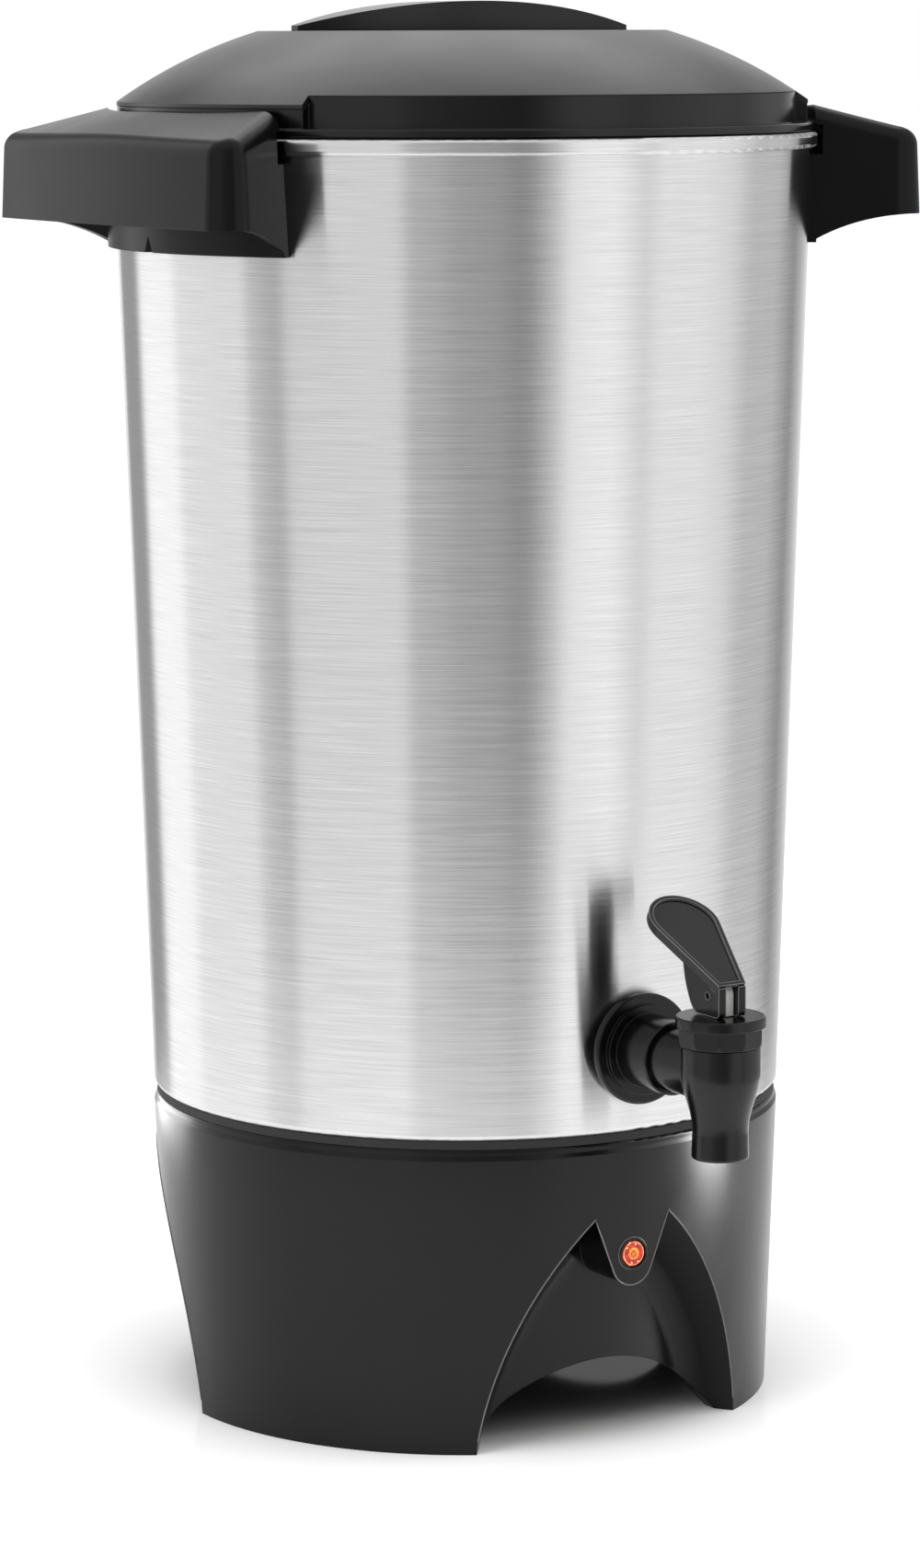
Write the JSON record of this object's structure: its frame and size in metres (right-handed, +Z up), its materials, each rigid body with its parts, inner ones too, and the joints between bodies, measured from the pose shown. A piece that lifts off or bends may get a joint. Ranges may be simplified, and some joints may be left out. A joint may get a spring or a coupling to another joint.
{
  "type": "coffee urn",
  "caption": "Percolating coffee urn: tapered aluminium tank on an arched moulded base, lift-off lid, side handles, spring-return tap, pilot light and lift-out percolator.",
  "frame": {"origin": "on the urn's axis at the surface it stands on", "axes": "+Z up, the tap and the pilot light towards -Y, the two handles towards +X and -X"},
  "size_m": [0.262, 0.2732, 0.4446],
  "materials": {
    "tank_aluminium": "brushed round the body",
    "percolator_aluminium": "satin",
    "satin_black": "fine satin moulding",
    "gloss_black": "gloss",
    "black_rubber": "matte",
    "bright_steel": "plain",
    "amber_lens": "clear moulding",
    "lamp_glass": "clear",
    "pale_ceramic": "glazed"
  },
  "bodies": {
    "urn": {"tank": "tank_aluminium", "tank_studs": "bright_steel", "stud_nuts": "bright_steel", "base_housing": "satin_black", "base_gasket": "black_rubber", "base_plate": "satin_black", "plate_screws": "bright_steel", "pilot_bezel": "gloss_black", "pilot_lens": "amber_lens", "pilot_lamp": "lamp_glass", "cord_gland": "gloss_black", "gland_nut": "gloss_black", "heating_element": "bright_steel", "heater_stud": "bright_steel", "element_clamp": "percolator_aluminium", "heater_nut": "bright_steel", "thermostat": "bright_steel", "thermal_fuse": "bright_steel", "fuse_clip": "bright_steel", "terminal_block": "pale_ceramic", "handle_right": "satin_black", "handle_left": "satin_black", "handle_seals": "black_rubber", "handle_screws": "bright_steel", "tap_body": "gloss_black", "tap_collar": "gloss_black", "tap_outer_seal": "black_rubber", "tap_inner_seal": "black_rubber", "tap_nut": "gloss_black", "tap_bonnet": "gloss_black"},
    "lid": {"lid_dome": "satin_black", "lid_base": "gloss_black", "lid_grip": "gloss_black", "lid_screws": "bright_steel"},
    "percolator": {"pump_tube": "percolator_aluminium", "pump_foot": "percolator_aluminium", "pump_valve": "percolator_aluminium"},
    "basket": {"brew_basket": "percolator_aluminium"},
    "spreader": {"basket_spreader": "percolator_aluminium"},
    "valve": {"tap_stem": "bright_steel", "tap_seat_cup": "black_rubber", "tap_spring": "bright_steel"},
    "lever": {"tap_lever": "gloss_black", "lever_pin": "bright_steel"}
  },
  "joints": [
    {"name": "lid_lift", "type": "slide", "parent": "urn", "child": "lid", "axis": [0, 0, 1], "range_m": [0, 0.46]},
    {"name": "tube_lift", "type": "slide", "parent": "urn", "child": "percolator", "axis": [0, 0, 1], "range_m": [0, 0.32]},
    {"name": "basket_lift", "type": "slide", "parent": "percolator", "child": "basket", "axis": [0, 0, 1], "range_m": [0, 0.09]},
    {"name": "spreader_lift", "type": "slide", "parent": "basket", "child": "spreader", "axis": [0, 0, 1], "range_m": [0, 0.02]},
    {"name": "stem_lift", "type": "slide", "parent": "urn", "child": "valve", "axis": [0, 0, 1], "range_m": [0, 0.002], "deforming": ["tap_spring"]},
    {"name": "tap_lever", "type": "hinge", "parent": "valve", "child": "lever", "pos_m": [0, -0.1475, 0.1504], "axis": [1, 0, 0], "range_deg": [0, 34], "stiffness_Nm_per_rad": 0.05, "springref_deg": -11.46}
  ],
  "couplings": [
    {"joint": "tube_lift", "follows": "lid_lift", "ratio": 0.69565},
    {"joint": "basket_lift", "follows": "lid_lift", "ratio": 0.19565},
    {"joint": "spreader_lift", "follows": "lid_lift", "ratio": 0.043478},
    {"joint": "stem_lift", "follows": "tap_lever", "m_per_rad": 0.00337}
  ]
}
